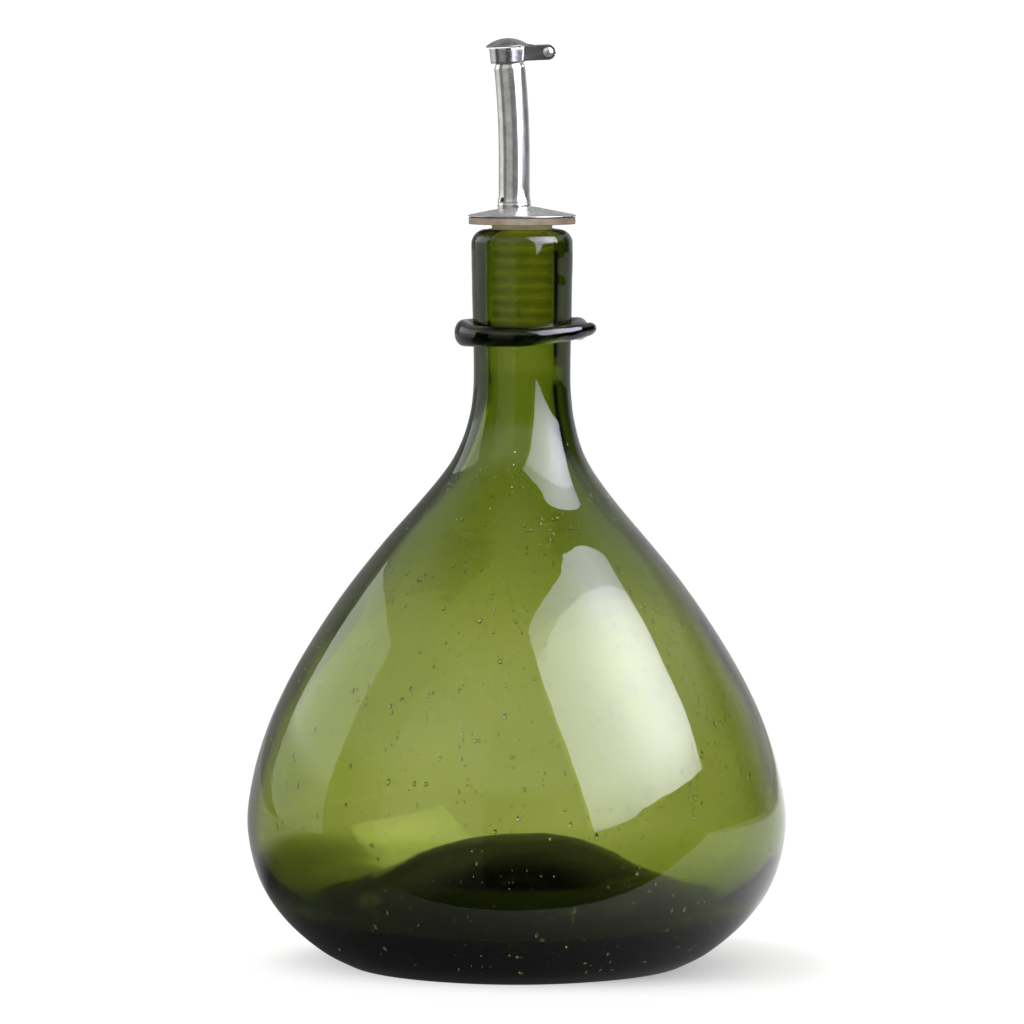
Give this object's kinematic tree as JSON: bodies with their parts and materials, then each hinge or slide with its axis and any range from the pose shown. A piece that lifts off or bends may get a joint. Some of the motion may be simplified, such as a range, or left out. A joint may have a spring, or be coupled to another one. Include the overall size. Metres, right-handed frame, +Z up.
{
  "type": "glass oil bottle",
  "caption": "Hand-blown green glass oil bottle: teardrop body, pushed-up base, slim neck with a wound glass ring, and a metal pourer with a hinged flap lid in a ribbed stopper.",
  "frame": {"origin": "centre of the flat ring that the bottle stands on", "axes": "+Z up along the body; the spout leans towards -X and its hinge is on the +X side, so the front view looks along +Y"},
  "size_m": [0.1532, 0.1532, 0.2629],
  "materials": {
    "green_glass": "clear olive-green hand-blown glass with seed bubbles, glossy",
    "ring_glass": "the same green glass in a thick trail, nearly black",
    "stopper_plastic": "translucent tan moulded plastic, satin",
    "disc_steel": "spun stainless steel, satin",
    "spout_steel": "drawn stainless steel, polished with fine marks along it",
    "rivet_steel": "bright steel rivet",
    "lid_steel": "pressed stainless steel, satin"
  },
  "bodies": {
    "bottle": {"bottle": "green_glass", "neck_ring": "ring_glass"},
    "pourer": {"stopper": "stopper_plastic", "drip_disc": "disc_steel", "pour_tube": "spout_steel", "vent_tube": "spout_steel", "tip_collar": "spout_steel", "hinge_rivet": "rivet_steel"},
    "flap": {"flap_lid": "lid_steel"}
  },
  "joints": [
    {"name": "pourer_lift", "type": "slide", "parent": "bottle", "child": "pourer", "axis": [0, 0, 1], "range_m": [0, 0.045]},
    {"name": "lid_hinge", "type": "hinge", "parent": "pourer", "child": "flap", "pos_m": [0.00886, 0, 0.25898], "axis": [0, 1, 0], "range_deg": [0, 100]}
  ]
}
